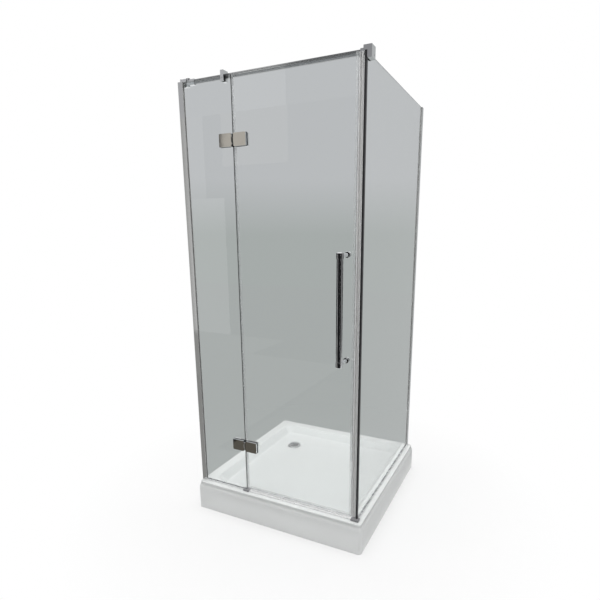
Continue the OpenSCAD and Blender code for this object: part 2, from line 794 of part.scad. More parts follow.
module hinge_screws(side) for (z = hinge_heights, screw_z = [z - hinge_screw_z, z + hinge_screw_z]) {
    back = front_in + gasket_t + plate_t;
    neck = back - hinge_screw_head_h;
    rod_y(screw_x(side), screw_z, back - hinge_screw_l, neck, hinge_screw_r);
    rod_y(screw_x(side), screw_z, neck, back - 0.4, hinge_screw_head_r);
}

module hinge_fixed_screws() color("silver") hinge_screws(-1);
module hinge_door_screws() color("silver") hinge_screws(1);

module lower_hinge_fixed_leaf() fixed_leaf(hinge_heights[0]);
module upper_hinge_fixed_leaf() fixed_leaf(hinge_heights[1]);
module lower_hinge_door_leaf() door_leaf(hinge_heights[0]);
module upper_hinge_door_leaf() door_leaf(hinge_heights[1]);
module hinge_fixed_clamps() hinge_clamps(-1);
module hinge_door_clamps() hinge_clamps(1);

// Handle

module handle_bar() color("silver") translate([grip_x, grip_y, 0])
    ring(grip_r, grip_r - grip_wall, grip_heights[0] + knuckle_h, grip_heights[1] - knuckle_h);

// A knuckle closes each end of the tube, and its stem runs back to the glass
module handle_post(z, end) difference() {
    union() {
        translate([grip_x, grip_y, z]) mirror([0, 0, end < 0 ? 1 : 0]) rotate_extrude() polygon([
            [0, -knuckle_h], [knuckle_r, -knuckle_h], [knuckle_r, knuckle_h - knuckle_chamfer],
            [knuckle_r - knuckle_chamfer, knuckle_h], [0, knuckle_h]]);
        rod_y(grip_x, z, grip_y, front_out - gasket_t - rosette_t, stem_r);
    }
    rod_y(grip_x, z, front_out - gasket_t - rosette_t - bolt_in, front_out, bolt_r);
}

module handle_posts() color("silver") {
    handle_post(grip_heights[0], -1);
    handle_post(grip_heights[1], 1);
}

module handle_rosettes() color("silver") for (z = grip_heights) difference() {
    rod_y(grip_x, z, front_out - gasket_t - rosette_t, front_out - gasket_t, rosette_r);
    rod_y(grip_x, z, front_out - gasket_t - rosette_t - over, front_out, bolt_r);
}

// Each hole in the glass has a nylon sleeve with a washer on both faces
module handle_glass_bushes() color("whitesmoke") for (z = grip_heights) difference() {
    union() {
        rod_y(grip_x, z, front_out - gasket_t, front_out, rosette_r - 0.5);
        rod_y(grip_x, z, front_out, front_in, bush_r);
        rod_y(grip_x, z, front_in, front_in + gasket_t, rosette_r - 0.5);
    }
    rod_y(grip_x, z, front_out - gasket_t - over, front_in + gasket_t + over, bolt_r);
}

module handle_bolts() color("silver") for (z = grip_heights)
    rod_y(grip_x, z, front_out - gasket_t - rosette_t - bolt_in,
        front_in + gasket_t + inner_cap_t - 2, bolt_r);

module handle_inner_caps() color("silver") for (z = grip_heights) difference() {
    rod_y(grip_x, z, front_in + gasket_t, front_in + gasket_t + inner_cap_t, rosette_r);
    rod_y(grip_x, z, front_in, front_in + gasket_t + inner_cap_t - 2, bolt_r);
}

// Stabiliser bar

module stabiliser_bar() color("gray") difference() {
    span([bar_x0, bar_y0, bar_z0], [bar_x1, bar_y1, bar_z1]);
    span([bar_x0 - over, bar_y0 + 1.5, bar_z0 + 1.5], [bar_x1 + over, bar_y1 - 1.5, bar_z1 - 1.5]);
}

// A plate on the wall with a neck, and two ears above and below the socket's tongue
module bar_wall_bracket() color("silver") difference() {
    plate_y0 = bar_y0 - 0.5;
    hole_y = plate_y0 + wall_plate_w - 7;
    union() {
        span([-half, plate_y0, bar_mid_z - wall_plate_h / 2],
            [-half + wall_plate_t, plate_y0 + wall_plate_w, bar_mid_z + wall_plate_h / 2]);
        span([-half + wall_plate_t, bar_y0, bar_z0 - ear_z],
            [pivot_x - pivot_r - 1, bar_y1, bar_z1 + ear_z]);
        for (z = [bar_z0 - ear_z, bar_z1 + pivot_gap]) {
            translate([pivot_x, bar_mid_y, z]) cylinder(r = pivot_r, h = ear_z - pivot_gap);
            span([pivot_x - pivot_r - 1, bar_y0, z], [pivot_x, bar_y1, z + ear_z - pivot_gap]);
        }
    }
    for (z = [bar_mid_z - wall_plate_pitch / 2, bar_mid_z + wall_plate_pitch / 2])
        rod_x(hole_y, z, -half - over, -half + wall_plate_t + over, wall_hole_r);
    translate([pivot_x, bar_mid_y, bar_z0 - ear_z - over])
        cylinder(r = grub_r, h = bar_h + 2 * (ear_z + over));
}

// A tongue on the pivot screw with a square socket for the bar's end
module bar_socket() color("silver") difference() {
    union() {
        translate([pivot_x, bar_mid_y, bar_z0]) cylinder(r = pivot_r, h = bar_h);
        span([pivot_x, bar_y0, bar_z0], [pivot_x + pivot_r + 4, bar_y1, bar_z1]);
        span([pivot_x + pivot_r + 1, bar_y0 - socket_wall, bar_z0 - socket_wall],
            [pivot_x + pivot_r + 1 + socket_l, bar_y1 + socket_wall, bar_z1 + socket_wall]);
    }
    span([bar_x0, bar_y0, bar_z0], [half, bar_y1, bar_z1]);
    translate([pivot_x, bar_mid_y, bar_z0 - over]) cylinder(r = grub_r, h = bar_h + 2 * over);
}

// A saddle over the top of the fixed pane that also grips the bar
module bar_glass_clip() color("silver") difference() {
    y0 = front_out - pad_rubber_t - clip_jaw;
    span([clip_x - clip_w / 2, y0, clamp_z0], [clip_x + clip_w / 2, bar_y1 + clip_wall, clamp_z1]);
    span([clip_x - clip_w, front_out - pad_rubber_t, clamp_z0 - over],
        [clip_x + clip_w, front_in + pad_rubber_t, glass_top + 1]);
    span([clip_x - clip_w, bar_y0, bar_z0], [clip_x + clip_w, bar_y1, bar_z1]);
    rod_y(clip_x, glass_top - grub_in, y0 - over, y0 + clip_jaw + over, grub_r);
}

// A saddle over the top of the side pane, with a low inner jaw round the bar's end
module bar_corner_clamp() color("silver") difference() {
    inner_x = side_in - pad_rubber_t;
    outer_x = side_out + pad_rubber_t;
    union() {
        span([outer_x, side_y0, clamp_z0], [outer_x + clamp_t, side_y0 + clamp_l, clamp_z1]);
        span([inner_x - 3, side_y0, glass_top + 1], [outer_x + over, side_y0 + clamp_l, clamp_z1]);
        span([inner_x - clamp_in_t, bar_y0 - clip_wall, bar_z0 - clip_wall],
            [inner_x, side_y0 + clamp_l, bar_z1 + clip_wall]);
    }
    span([0, bar_y0, bar_z0], [bar_x1, bar_y1, bar_z1]);
    rod_x(clamp_screw_y, glass_top - grub_in, outer_x - over, outer_x + clamp_t + over, grub_r);
}

// Rubber pads between the jaws and the glass
module bar_clamp_pads() color("black") {
    for (y = [front_out - pad_rubber_t, front_in])
        span([clip_x - clip_w / 2, y, clamp_z0 + 1],
            [clip_x + clip_w / 2 + 2, y + pad_rubber_t, glass_top]);
    for (x = [side_in - pad_rubber_t, side_out])
        span([x, clamp_pad_y, clamp_z0 - 1], [x + pad_rubber_t, side_y0 + clamp_l, glass_top]);
}

// The pivot screw, and the grub screws in the clip and the clamp
module bar_screws() color("dimgray") {
    y0 = front_out - pad_rubber_t - clip_jaw;
    x1 = side_out + pad_rubber_t + clamp_t;
    translate([pivot_x, bar_mid_y, bar_z0 - ear_z]) cylinder(r = grub_r, h = bar_h + 2 * ear_z);
    rod_y(clip_x, glass_top - grub_in, y0 + 0.5, y0 + clip_jaw, grub_r);
    rod_x(clamp_screw_y, glass_top - grub_in, x1 - clamp_t, x1 - 0.5, grub_r);
}

tray();
apron();
apron_brackets();
base_board();
support_frame();
leg_studs();
leg_pads();
leg_nuts();
trap_body();
trap_outlet();
trap_ring();
waste_seals();
waste_flange();
outlet_nut();
dip_tube();
drain_cover();
front_wall_channel();
rear_wall_channel();
channel_caps();
front_glass_gaskets();
rear_glass_gaskets();
fixed_glass();
side_glass();
door_glass();
front_sill();
side_sill();
setting_blocks();
threshold_strip();
threshold_end_blocks();
side_magnet_seal();
side_magnet();
door_magnet_seal();
door_magnet();
door_hinge_seal();
door_drip_seal();
upper_hinge_fixed_leaf();
upper_hinge_door_leaf();
lower_hinge_fixed_leaf();
lower_hinge_door_leaf();
hinge_fixed_clamps();
hinge_door_clamps();
hinge_pins();
hinge_fixed_gaskets();
hinge_door_gaskets();
hinge_fixed_screws();
hinge_door_screws();
handle_bar();
handle_posts();
handle_rosettes();
handle_glass_bushes();
handle_bolts();
handle_inner_caps();
stabiliser_bar();
bar_wall_bracket();
bar_socket();
bar_glass_clip();
bar_corner_clamp();
bar_clamp_pads();
bar_screws();
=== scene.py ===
import json
import math

import bmesh
import bpy
from mathutils import Matrix, Vector


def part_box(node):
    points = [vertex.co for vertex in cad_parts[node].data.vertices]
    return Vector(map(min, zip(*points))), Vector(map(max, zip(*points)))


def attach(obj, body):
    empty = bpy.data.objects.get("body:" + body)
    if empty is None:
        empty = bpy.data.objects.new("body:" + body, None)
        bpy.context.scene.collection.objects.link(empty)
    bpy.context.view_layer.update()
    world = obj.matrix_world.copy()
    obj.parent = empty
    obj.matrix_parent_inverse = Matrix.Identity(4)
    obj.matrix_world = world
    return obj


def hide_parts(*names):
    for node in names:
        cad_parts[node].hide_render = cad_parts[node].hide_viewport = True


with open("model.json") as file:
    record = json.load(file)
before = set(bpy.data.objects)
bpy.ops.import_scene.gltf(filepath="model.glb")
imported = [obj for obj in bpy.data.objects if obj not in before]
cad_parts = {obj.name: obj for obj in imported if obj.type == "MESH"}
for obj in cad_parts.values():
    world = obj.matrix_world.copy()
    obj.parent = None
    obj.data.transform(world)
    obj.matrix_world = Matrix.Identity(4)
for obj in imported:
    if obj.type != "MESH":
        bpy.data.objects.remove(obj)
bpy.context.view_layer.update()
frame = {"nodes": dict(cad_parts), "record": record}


# Support frame
# A welded frame of 25 mm square steel tube, zinc plated, carries the tray.
# Its butt joints are closed by short weld beads on the outside.

record = frame["record"]
bodies = {node: body for body, nodes in record["behaviour"]["bodies"].items() for node in nodes}


def join(tree, value, socket):
    """Links an output to this input, or sets the input to a plain value"""
    if isinstance(value, bpy.types.NodeSocket):
        tree.links.new(value, socket)
    else:
        socket.default_value = value


def step(tree, kind, **inputs):
    """A node whose named inputs are set to values or joined to other nodes"""
    node = tree.nodes.new(kind)
    for label, value in inputs.items():
        join(tree, value, node.inputs[label.replace("_", " ")])
    return node


def wire(material, kind, **inputs):
    """A shader node in this material"""
    return step(material.node_tree, "ShaderNode" + kind, **inputs)


def base_material(name, **values):
    """A material whose main shader has these values on its own sockets"""
    material = bpy.data.materials.new(name)
    material.use_nodes = True
    shader = material.node_tree.nodes["Principled BSDF"]
    for label, value in values.items():
        socket = shader.inputs[label.replace("_", " ")]
        socket.default_value = (*value, 1) if isinstance(value, tuple) else value
    return material


def feed(material, label, socket):
    """Joins an output to an input of the main shader"""
    shader = material.node_tree.nodes["Principled BSDF"]
    material.node_tree.links.new(socket, shader.inputs[label])


def placed(material, size, stretch=(1, 1, 1)):
    """Object coordinates counted in features of this size, in metres"""
    here = wire(material, "TexCoord").outputs["Object"]
    scale = [1 / (size * s) for s in stretch]
    return wire(material, "Mapping", Vector=here, Scale=scale).outputs[0]


def noise(material, size, detail=3.0, stretch=(1, 1, 1)):
    """Soft noise with features of this size"""
    place = placed(material, size, stretch)
    return wire(material, "TexNoise", Vector=place, Scale=1.0, Detail=detail).outputs["Fac"]


# Noise seldom leaves this span.
noise_low = 0.3
noise_high = 0.7


def spread(material, value, low, high):
    """Noise turned into numbers from low to high"""
    scaled = wire(material, "MapRange", Value=value, From_Min=noise_low, From_Max=noise_high,
                  To_Min=low, To_Max=high)
    return scaled.outputs[0]


def blend_colours(material, value, *colours):
    """A ramp that runs evenly through the colours"""
    ramp = wire(material, "ValToRGB", Fac=value)
    elements = ramp.color_ramp.elements
    while len(elements) < len(colours):
        elements.new(0.5)
    for k, colour in enumerate(colours):
        elements[k].position = noise_low + (noise_high - noise_low) * k / (len(colours) - 1)
        elements[k].color = (*colour, 1)
    return ramp.outputs["Color"]


def relief(material, height, depth, strength=1.0):
    """Small height differences that only the shading shows"""
    bump = wire(material, "Bump", Height=height, Distance=depth, Strength=strength)
    feed(material, "Normal", bump.outputs[0])


def finished(name, mesh, material, *nodes):
    """A piece made from a mesh, which stands for these nodes and rides on their body"""
    piece = bpy.data.objects.new(name, mesh)
    bpy.context.scene.collection.objects.link(piece)
    if not mesh.materials:
        mesh.materials.append(material)
    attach(piece, bodies[nodes[0]])
    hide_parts(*nodes)
    return piece


def merged(node):
    """A node's mesh with its loose triangles joined and its flat faces whole"""
    bm = bmesh.new()
    bm.from_mesh(frame["nodes"][node].data)
    bmesh.ops.remove_doubles(bm, verts=bm.verts, dist=1e-6)
    bmesh.ops.dissolve_limit(bm, angle_limit=math.radians(0.5), verts=bm.verts, edges=bm.edges)
    return bm


def as_mesh(bm, name):
    """A smooth mesh, without the shading directions that its source had stored"""
    mesh = bpy.data.meshes.new(name)
    bm.to_mesh(mesh)
    bm.free()
    stored = mesh.attributes.get("custom_normal")
    if stored:
        mesh.attributes.remove(stored)
    mesh.shade_smooth()
    return mesh


def ease_edges(piece, width, segments=2):
    """Eases a piece's sharp edges, as tools and polishing leave them"""
    bevel = piece.modifiers.new("eased edges", "BEVEL")
    bevel.width = width
    bevel.segments = segments
    bevel.angle_limit = math.radians(30)
    bevel.harden_normals = True


def eased(name, node, material, width=0.0005, segments=2):
    """A piece with a node's form and eased edges"""
    piece = finished(name, as_mesh(merged(node), name), material, node)
    ease_edges(piece, width, segments)


def shape_tree(name, **sizes):
    """An empty Geometry Nodes tree with a named input for each size"""
    tree = bpy.data.node_groups.new(name, "GeometryNodeTree")
    tree.interface.new_socket("Geometry", in_out="OUTPUT", socket_type="NodeSocketGeometry")
    tree.interface.new_socket("Geometry", in_out="INPUT", socket_type="NodeSocketGeometry")
    for label, value in sizes.items():
        kind = "NodeSocketInt" if isinstance(value, int) else "NodeSocketFloat"
        tree.interface.new_socket(label, in_out="INPUT", socket_type=kind)
    return tree, tree.nodes.new("NodeGroupInput").outputs


def grown(name, tree, result, material, places, sizes, edges=()):
    """The mesh that a tree makes from these places, as plain faces of one material"""
    whole = step(tree, "GeometryNodeRealizeInstances", Geometry=result)
    painted = step(tree, "GeometryNodeSetMaterial", Geometry=whole.outputs[0])
    painted.inputs["Material"].default_value = material
    tree.links.new(painted.outputs[0], tree.nodes.new("NodeGroupOutput").inputs[0])
    mesh = bpy.data.meshes.new(name)
    mesh.from_pydata([tuple(p) for p in places], list(edges), [])
    seed = bpy.data.objects.new(name + "_seed", mesh)
    bpy.context.scene.collection.objects.link(seed)
    modifier = seed.modifiers.new("shape", "NODES")
    modifier.node_group = tree
    for socket in tree.interface.items_tree:
        if socket.in_out == "INPUT" and socket.name in sizes:
            modifier[socket.identifier] = sizes[socket.name]
    seed_now = seed.evaluated_get(bpy.context.evaluated_depsgraph_get())
    made = bpy.data.meshes.new_from_object(seed_now)
    made.name = name
    bpy.data.objects.remove(seed)
    return made


zinc = base_material("zinc plated steel", Metallic=1.0)
spangle = wire(zinc, "TexVoronoi", Vector=placed(zinc, 0.009), Scale=1.0).outputs["Color"]
zinc_greys = (0.52, 0.54, 0.56), (0.62, 0.63, 0.64), (0.7, 0.71, 0.7)
feed(zinc, "Base Color", blend_colours(zinc, spangle, *zinc_greys))
feed(zinc, "Roughness", spread(zinc, noise(zinc, 0.02), 0.3, 0.48))
relief(zinc, noise(zinc, 0.0012), 0.0002, 0.3)

eased("frame_of_square_tube", "support_frame", zinc, 0.0012)
eased("apron_holding_brackets", "apron_brackets", zinc, 0.0006)

low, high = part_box("support_frame")
tube = 0.025
seams = []
for y in (low.y + tube, -tube / 2, tube / 2, high.y - tube):
    for x in (low.x, high.x - tube):
        if abs(y) > tube:
            seams.append(((x, y, low.z), (x + tube, y, low.z)))
        else:
            edge = low.x + tube if x < 0 else high.x - tube
            seams.append(((edge, y, low.z), (edge, y, high.z)))
sizes = {"Spacing": 0.0022, "Bead": 0.0013}
tree, size = shape_tree("weld beads", **sizes)
line = step(tree, "GeometryNodeMeshToCurve", Mesh=size["Geometry"])
dots = tree.nodes.new("GeometryNodeResampleCurve")
dots.mode = "LENGTH"
tree.links.new(line.outputs[0], dots.inputs["Curve"])
tree.links.new(size["Spacing"], dots.inputs["Length"])
bead = step(tree, "GeometryNodeMeshIcoSphere", Radius=size["Bead"], Subdivisions=2)
beads = step(tree, "GeometryNodeInstanceOnPoints", Points=dots.outputs[0], Instance=bead.outputs[0])
ends = [end for seam in seams for end in seam]
welds = grown("weld_beads", tree, beads.outputs[0], zinc, ends, sizes,
              [(2 * k, 2 * k + 1) for k in range(len(seams))])
finished("weld_beads", welds, zinc, "support_frame")


# Board under the basin
# Particle board bonded to the underside of the tray, so that the thin shell carries a person.
# It is sawn to shape and bored for the trap.

board = base_material("particle board", Roughness=0.85)
chips = wire(board, "TexVoronoi", Vector=placed(board, 0.006, (1.8, 1, 0.5)), Scale=1.0).outputs["Color"]
wood_browns = (0.36, 0.25, 0.15), (0.55, 0.42, 0.27), (0.66, 0.54, 0.38)
feed(board, "Base Color", blend_colours(board, chips, *wood_browns))
relief(board, noise(board, 0.003), 0.0006, 0.5)

eased("board_under_basin", "base_board", board, 0.0004, 1)


# Levelling legs
# Five M12 studs with a nut above and below the frame's tube, screwed into plastic foot pads.
# The thread is rolled on the stud, and ribs round each pad give a grip for levelling by hand.

black_plastic = base_material("black moulded plastic", Base_Color=(0.022, 0.022, 0.023))
feed(black_plastic, "Roughness", spread(black_plastic, noise(black_plastic, 0.004), 0.38, 0.56))
relief(black_plastic, noise(black_plastic, 0.0005), 0.0001, 0.4)


def maths(tree, operation, first, second):
    """The result of one sum on two numbers"""
    node = tree.nodes.new("ShaderNodeMath")
    node.operation = operation
    join(tree, first, node.inputs[0])
    join(tree, second, node.inputs[1])
    return node.outputs[0]


leg_middle = 0.33
legs = [Vector((0, 0, 0))]
legs += [Vector((x, y, 0)) for x in (-leg_middle, leg_middle) for y in (-leg_middle, leg_middle)]

low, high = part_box("leg_studs")
stud_length = high.z - low.z
thread_pitch = 0.00175
sizes = {"Radius": 0.006, "Length": stud_length, "Turns": stud_length / thread_pitch, "Ridge": 0.0006}
tree, size = shape_tree("threaded stud", **sizes)
core_radius = maths(tree, "SUBTRACT", size["Radius"], size["Ridge"])
ridge_line = step(tree, "GeometryNodeCurveSpiral", Resolution=14, Rotations=size["Turns"],
                  Start_Radius=core_radius, End_Radius=core_radius, Height=size["Length"])
ridge_form = step(tree, "GeometryNodeCurvePrimitiveCircle", Resolution=4, Radius=size["Ridge"])
ridge = step(tree, "GeometryNodeCurveToMesh", Curve=ridge_line.outputs[0],
             Profile_Curve=ridge_form.outputs[0], Fill_Caps=True)
core = step(tree, "GeometryNodeMeshCylinder", Vertices=28, Radius=core_radius, Depth=size["Length"])
up = step(tree, "ShaderNodeCombineXYZ", Z=maths(tree, "MULTIPLY", size["Length"], 0.5))
core_up = step(tree, "GeometryNodeTransform", Geometry=core.outputs[0], Translation=up.outputs[0])
stud = step(tree, "GeometryNodeJoinGeometry")
for part in (core_up, ridge):
    tree.links.new(part.outputs[0], stud.inputs[0])
studs = step(tree, "GeometryNodeInstanceOnPoints", Points=size["Geometry"], Instance=stud.outputs[0])
feet = [p + Vector((0, 0, low.z)) for p in legs]
threads = grown("levelling_studs", tree, studs.outputs[0], zinc, feet, sizes)
finished("levelling_studs", threads, zinc, "leg_studs")
eased("levelling_nuts", "leg_nuts", zinc, 0.0007)
eased("foot_pads", "leg_pads", black_plastic, 0.0012)

sizes = {"Count": 28, "Radius": 0.0238, "Width": 0.0022, "Height": 0.0045}
tree, size = shape_tree("grip ribs", **sizes)
ring = step(tree, "GeometryNodeMeshCircle", Vertices=size["Count"], Radius=size["Radius"])
tall = step(tree, "ShaderNodeCombineXYZ", X=size["Width"], Y=size["Width"], Z=size["Height"])
rib = step(tree, "GeometryNodeMeshCube", Size=tall.outputs[0])
index = step(tree, "GeometryNodeInputIndex").outputs[0]
turn = maths(tree, "DIVIDE", index, size["Count"])
facing = step(tree, "ShaderNodeCombineXYZ", Z=maths(tree, "MULTIPLY", turn, 2 * math.pi))
turned = step(tree, "FunctionNodeEulerToRotation", Euler=facing.outputs[0])
ribs = step(tree, "GeometryNodeInstanceOnPoints", Points=ring.outputs[0], Instance=rib.outputs[0],
            Rotation=turned.outputs[0])
ribbed = step(tree, "GeometryNodeInstanceOnPoints", Points=size["Geometry"], Instance=ribs.outputs[0])
ribs_middle = Vector((0, 0, 0.0042))
rib_places = [p + ribs_middle for p in legs]
pad_ribs = grown("foot_pad_ribs", tree, ribbed.outputs[0], black_plastic, rib_places, sizes)
finished("foot_pad_ribs", pad_ribs, black_plastic, "leg_pads")


# Tray
# A sheet of white sanitary acrylic, vacuum formed over a mould, so every edge of the basin is soft.
# Its lip turns down all round, further at the left and at the rear, and a skin of glass fibre
# stiffens the underside.

acrylic = base_material("glossy white acrylic", Coat_Weight=0.35, Coat_Roughness=0.06)
cast = noise(acrylic, 0.35, 2.0)
feed(acrylic, "Base Color", blend_colours(acrylic, cast, (0.83, 0.845, 0.84), (0.85, 0.865, 0.86)))
feed(acrylic, "Roughness", spread(acrylic, noise(acrylic, 0.05, 4.0), 0.16, 0.26))
relief(acrylic, noise(acrylic, 0.012, 2.0), 0.00012, 0.25)

tray_half = 0.45
tray_top = 0.15
wall = 0.005
rim_corner = 0.014
lip = 0.008
ring_points = 18
waste = Vector((-0.24, 0.207, 0))


def round_square(half_side, radius, z, points=ring_points):
    """Points of a square with round corners, anticlockwise from the front right corner"""
    ring = []
    for quarter, (x, y) in enumerate(((1, -1), (1, 1), (-1, 1), (-1, -1))):
        centre = Vector((x, y, 0)) * (half_side - radius)
        for k in range(points + 1):
            turn = math.radians(-90 + 90 * quarter + 90 * k / points)
            ring.append(Vector((math.cos(turn), math.sin(turn), 0)) * radius + centre + Vector((0, 0, z)))
    return ring


def toward_waste(ring, radius, z):
    """A circle round the waste with one point for each of the ring's, in the same directions"""
    circle = []
    for p in ring:
        away = Vector((p.x - waste.x, p.y - waste.y, 0)).normalized()
        circle.append(waste + away * radius + Vector((0, 0, z)))
    return circle


def arc(centre, radius, start, end, steps):
    """Points of an arc in section, its angles in degrees"""
    turns = [math.radians(start + (end - start) * k / steps) for k in range(steps + 1)]
    return [(centre[0] + radius * math.cos(t), centre[1] + radius * math.sin(t)) for t in turns]


def loft(rings):
    """Faces from each ring to the next and from the last to the first"""
    bm = bmesh.new()
    verts = [[bm.verts.new(p) for p in ring] for ring in rings]
    for a, b in zip(verts, verts[1:] + verts[:1]):
        for k in range(len(a)):
            m = (k + 1) % len(a)
            bm.faces.new((a[k], a[m], b[m], b[k]))
    bmesh.ops.remove_doubles(bm, verts=bm.verts, dist=1e-6)
    bmesh.ops.recalc_face_normals(bm, faces=bm.faces)
    return bm


basin_half = 0.392
foot_half = 0.358
basin_corner = 0.055
foot_corner = 0.038
foot_z = 0.114
waste_z = 0.11
waste_hole = 0.031
slope = math.degrees(math.atan2(tray_top - foot_z, basin_half - foot_half))


def basin_ring(x, z):
    """A ring of the basin's side, whose corner narrows from the rim to the foot"""
    share = (x - foot_half) / (basin_half - foot_half)
    return round_square(x, foot_corner + (basin_corner - foot_corner) * min(max(share, -0.3), 1.3), z)


edge_r = 0.003
section = [(tray_half, tray_top - lip)]
section += arc((tray_half - edge_r, tray_top - edge_r), edge_r, 0, 90, 5)
rings = [round_square(x, rim_corner - (tray_half - x), z) for x, z in section]

brow = 0.007
brow_in = brow * math.tan(math.radians(slope / 2))
brow_arc = arc((basin_half + brow_in, tray_top - brow), brow, 90, 90 + slope, 6)
cove = 0.02
cove_out = cove * math.tan(math.radians(slope / 2))
cove_arc = arc((foot_half - cove_out, foot_z + cove), cove, slope - 90, -90, 8)
rings += [basin_ring(x, z) for x, z in brow_arc + cove_arc]

floor_ring = rings[-1]
floor_fall = (0.12, 0.0012), (0.047, 0.0002), (0.044, 0), (waste_hole, 0), (waste_hole, -wall)
rings += [toward_waste(floor_ring, radius, waste_z + rise) for radius, rise in floor_fall]

under_floor = waste_z - wall
under_lip = tray_top - wall
skin_step = 0.0005
skin_out = wall / math.sin(math.radians(slope)) * 0.9 - 0.0045
rings += [basin_ring(foot_half - 0.012, under_floor),
          basin_ring(foot_half + wall, under_floor + skin_step),
          basin_ring(basin_half + skin_out, under_lip - skin_step),
          round_square(tray_half - wall, rim_corner - wall, under_lip),
          round_square(tray_half - wall, rim_corner - wall, tray_top - lip)]
tray = loft(rings)

corner_mid = tray_half - rim_corner
wall_edge_end = 0.422
wall_edge_low = 0.11
wall_edge_high = tray_top - lip + 0.0005
for start, end in (((-tray_half, -wall_edge_end), (wall - tray_half, corner_mid)),
                   ((-corner_mid, tray_half - wall), (wall_edge_end, tray_half))):
    low = Vector((*start, wall_edge_low))
    high = Vector((*end, wall_edge_high))
    place = Matrix.Translation((low + high) / 2) @ Matrix.Diagonal((*(high - low), 1))
    bmesh.ops.create_cube(tray, size=1.0, matrix=place)
tray_mesh = as_mesh(tray, "tray_shell")
tray_mesh.set_sharp_from_angle(angle=math.radians(40))
finished("tray_shell", tray_mesh, acrylic, "tray")


# Apron
# One moulded skirt closes the tray's front and right sides down to the floor.
# It tucks up behind the lip, where it leaves a narrow shadow gap, and its foot stands out a little.


def sweep(section, path):
    """A closed section of distances out and up, carried along points with their outward sides"""
    bm = bmesh.new()
    rings = [[bm.verts.new(p + out * d + Vector((0, 0, z))) for d, z in section] for p, out in path]
    for a, b in zip(rings, rings[1:]):
        for k in range(len(section)):
            m = (k + 1) % len(section)
            bm.faces.new((a[k], a[m], b[m], b[k]))
    for ring in (rings[0], rings[-1]):
        bm.faces.new(ring)
    bmesh.ops.recalc_face_normals(bm, faces=bm.faces)
    return bm


foot_out = rim_corner + 0.005
tongue = rim_corner - wall - 0.0003
tongue_top = 0.1447
lip_z = tray_top - lip
shoulder_z = lip_z - 0.002
shoulder_out = foot_out - 0.002
shoulder_drop = 0.016
shoulder_steps = 6
foot_edge = 0.0008
outside = [(tongue, tongue_top), (tongue, shoulder_z)]
for k in range(1, shoulder_steps + 1):
    share = 0.5 - 0.5 * math.cos(math.pi * k / shoulder_steps)
    drop = shoulder_drop * k / shoulder_steps
    outside.append((tongue + (shoulder_out - tongue) * share, shoulder_z - drop))
outside += [(foot_out - foot_edge, lip_z - 0.022), (foot_out, lip_z - 0.029),
            (foot_out, foot_edge), (foot_out - foot_edge, 0)]
inside = [(d - wall, z) for d, z in reversed(outside)]

end_gap = 0.0002
path = [(Vector((end_gap - tray_half, -corner_mid, 0)), Vector((0, -1, 0)))]
for k in range(ring_points + 1):
    turn = math.radians(-90 + 90 * k / ring_points)
    path.append((Vector((corner_mid, -corner_mid, 0)), Vector((math.cos(turn), math.sin(turn), 0))))
path.append((Vector((corner_mid, tray_half - end_gap, 0)), Vector((1, 0, 0))))
apron = sweep(outside + inside, path)

# The tongue stops before the round corners of the lip at both ends.
for at_end, axis in ((-tray_half, 0), (tray_half, 1)):
    for v in apron.verts:
        if abs(v.co[axis] - at_end) < 0.001 and v.co.z > lip_z - 0.0025:
            v.co[axis] -= math.copysign(rim_corner, at_end)
apron_mesh = as_mesh(apron, "moulded_apron")
apron_mesh.set_sharp_from_angle(angle=math.radians(40))
finished("moulded_apron", apron_mesh, acrylic, "apron")


# Waste
# A chromed brass flange clamps the tray against the trap's threaded ring, with a rubber ring on
# each face. The slotted cover and the dip tube under it lift out for cleaning.

chrome = base_material("mirror chrome", Base_Color=(0.78, 0.79, 0.8), Metallic=1.0)
feed(chrome, "Roughness", spread(chrome, noise(chrome, 0.03, 4.0), 0.035, 0.09))
relief(chrome, noise(chrome, 0.02, 1.0), 0.00006, 0.15)

satin_rim = base_material("satin chrome rim", Base_Color=(0.78, 0.79, 0.8), Metallic=1.0)
feed(satin_rim, "Roughness", spread(satin_rim, noise(satin_rim, 0.002, 3.0), 0.3, 0.38))
relief(satin_rim, noise(satin_rim, 0.001), 0.00003, 0.2)

white_plastic = base_material("white moulded plastic", Base_Color=(0.72, 0.72, 0.7))
feed(white_plastic, "Roughness", spread(white_plastic, noise(white_plastic, 0.01), 0.32, 0.5))
relief(white_plastic, noise(white_plastic, 0.0006), 0.0001, 0.3)

grey_plastic = base_material("grey moulded plastic", Base_Color=(0.28, 0.28, 0.29))
feed(grey_plastic, "Roughness", spread(grey_plastic, noise(grey_plastic, 0.008), 0.35, 0.5))
relief(grey_plastic, noise(grey_plastic, 0.0006), 0.0001, 0.3)

rubber = base_material("black rubber", Base_Color=(0.016, 0.016, 0.017), Specular_IOR_Level=0.3)
feed(rubber, "Roughness", spread(rubber, noise(rubber, 0.006), 0.62, 0.8))
relief(rubber, noise(rubber, 0.0008), 0.00015, 0.5)

eased("trap_cup_body", "trap_body", white_plastic, 0.0008)
eased("welded_pipe_socket", "trap_outlet", white_plastic, 0.0006)
eased("trap_threaded_ring", "trap_ring", white_plastic, 0.0008)
eased("waste_rubber_rings", "waste_seals", rubber, 0.0003)
eased("pipe_nut", "outlet_nut", white_plastic, 0.0008)
eased("waste_flange_ring", "waste_flange", satin_rim, 0.0008, 3)
eased("lift_out_dip_tube", "dip_tube", grey_plastic, 0.0003)
eased("slotted_cover", "drain_cover", chrome, 0.0005, 3)


# Wall channels
# Two anodised and polished aluminium extrusions, screwed in place and closed by pressed caps on top.
# Grey rubber strips wedge the glass in them.

